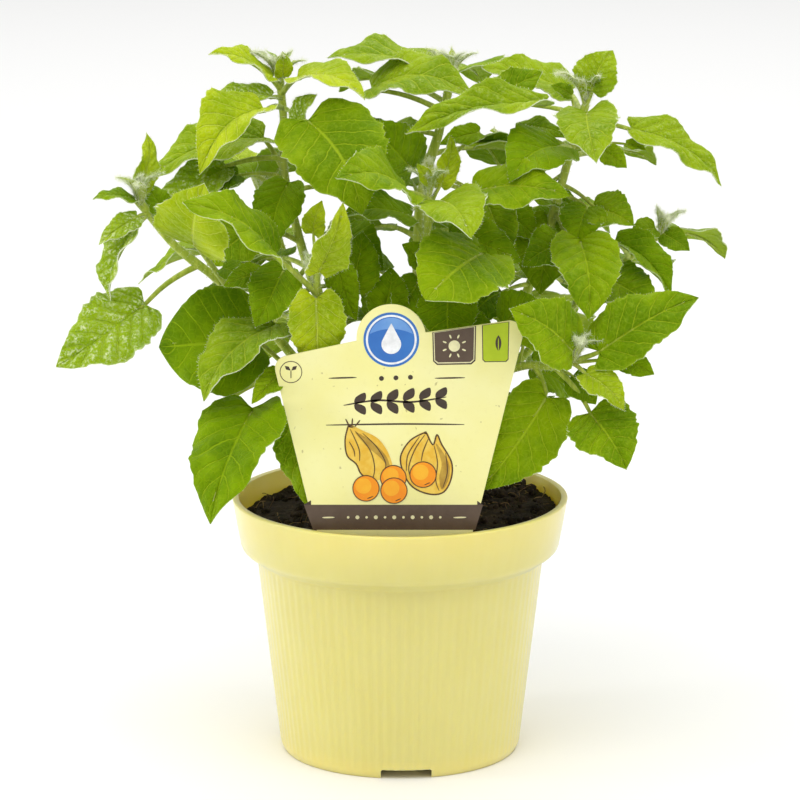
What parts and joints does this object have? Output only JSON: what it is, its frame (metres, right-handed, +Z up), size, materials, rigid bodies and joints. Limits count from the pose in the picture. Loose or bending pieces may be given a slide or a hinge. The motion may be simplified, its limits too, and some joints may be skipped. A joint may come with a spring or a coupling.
{
  "type": "potted physalis plant",
  "caption": "Young physalis plant with broad pointed leaves on upright stems, in a tapered plastic pot with a stepped rim, with potting soil and a plant label.",
  "frame": {"origin": "centre of the pot's foot, on the surface that it stands on", "axes": "+Z up along the pot's axis, -Y to the front, where the label faces, +X to the right of someone who reads the label"},
  "size_m": [0.2381, 0.1608, 0.2556],
  "materials": {
    "pot_plastic": "pale yellow moulded plastic with a soft sheen and fine upright flutes",
    "peat_soil": null,
    "label_card": null,
    "stem_skin": null,
    "young_leaf": null,
    "green_leaf": null,
    "dark_leaf": null
  },
  "bodies": {
    "root": {"pot": "pot_plastic", "potting_soil": "peat_soil", "plant_label": "label_card", "stem_left": "stem_skin", "leaf_far_left": "green_leaf", "leaf_left_hanging": "green_leaf", "leaf_left_lit": "young_leaf", "leaf_left_round": "dark_leaf", "stem_tall_left": "stem_skin", "leaf_top_left": "young_leaf", "leaf_tall_left_hanging": "young_leaf", "leaf_tall_left_side": "green_leaf", "leaf_top_left_inner": "young_leaf", "leaf_centre_large": "green_leaf", "stem_front_left": "stem_skin", "leaf_front_left_raised": "green_leaf", "leaf_front_upright": "young_leaf", "leaf_front_heart": "young_leaf", "leaf_front_left_inner": "dark_leaf", "leaf_front_left_side": "green_leaf", "leaf_low_left": "green_leaf", "leaf_low_left_inner": "dark_leaf", "stem_centre": "stem_skin", "leaf_centre_pale": "young_leaf", "leaf_centre_left": "young_leaf", "leaf_centre_dark": "dark_leaf", "leaf_centre_round": "green_leaf", "leaf_centre_low": "dark_leaf", "leaf_centre_right": "green_leaf", "stem_back_centre": "stem_skin", "leaf_top_centre_back": "green_leaf", "leaf_top_centre": "green_leaf", "leaf_upper_centre": "dark_leaf", "leaf_top_right_inner": "green_leaf", "leaf_rear_top": "green_leaf", "stem_right": "stem_skin", "leaf_right_top": "young_leaf", "leaf_right_heart": "green_leaf", "leaf_right_tip": "green_leaf", "leaf_right_long": "green_leaf", "leaf_right_inner": "dark_leaf", "leaf_right_back_top": "green_leaf", "leaf_right_quilted": "green_leaf", "stem_front_right": "stem_skin", "leaf_front_right_raised": "dark_leaf", "leaf_front_right": "green_leaf", "leaf_low_right": "green_leaf", "leaf_low_centre_right": "green_leaf", "stem_far_right": "stem_skin", "leaf_far_right_folded": "dark_leaf", "leaf_far_right_low": "green_leaf", "leaf_far_right_rear": "green_leaf", "stem_rear_left": "stem_skin", "leaf_rear_left_top": "young_leaf", "leaf_rear_left_side": "green_leaf", "leaf_rear_left_low": "green_leaf", "stem_rear_right": "stem_skin", "leaf_rear_right_top": "green_leaf", "leaf_rear_right_low": "green_leaf", "leaf_rear_centre": "dark_leaf"}
  },
  "joints": []
}
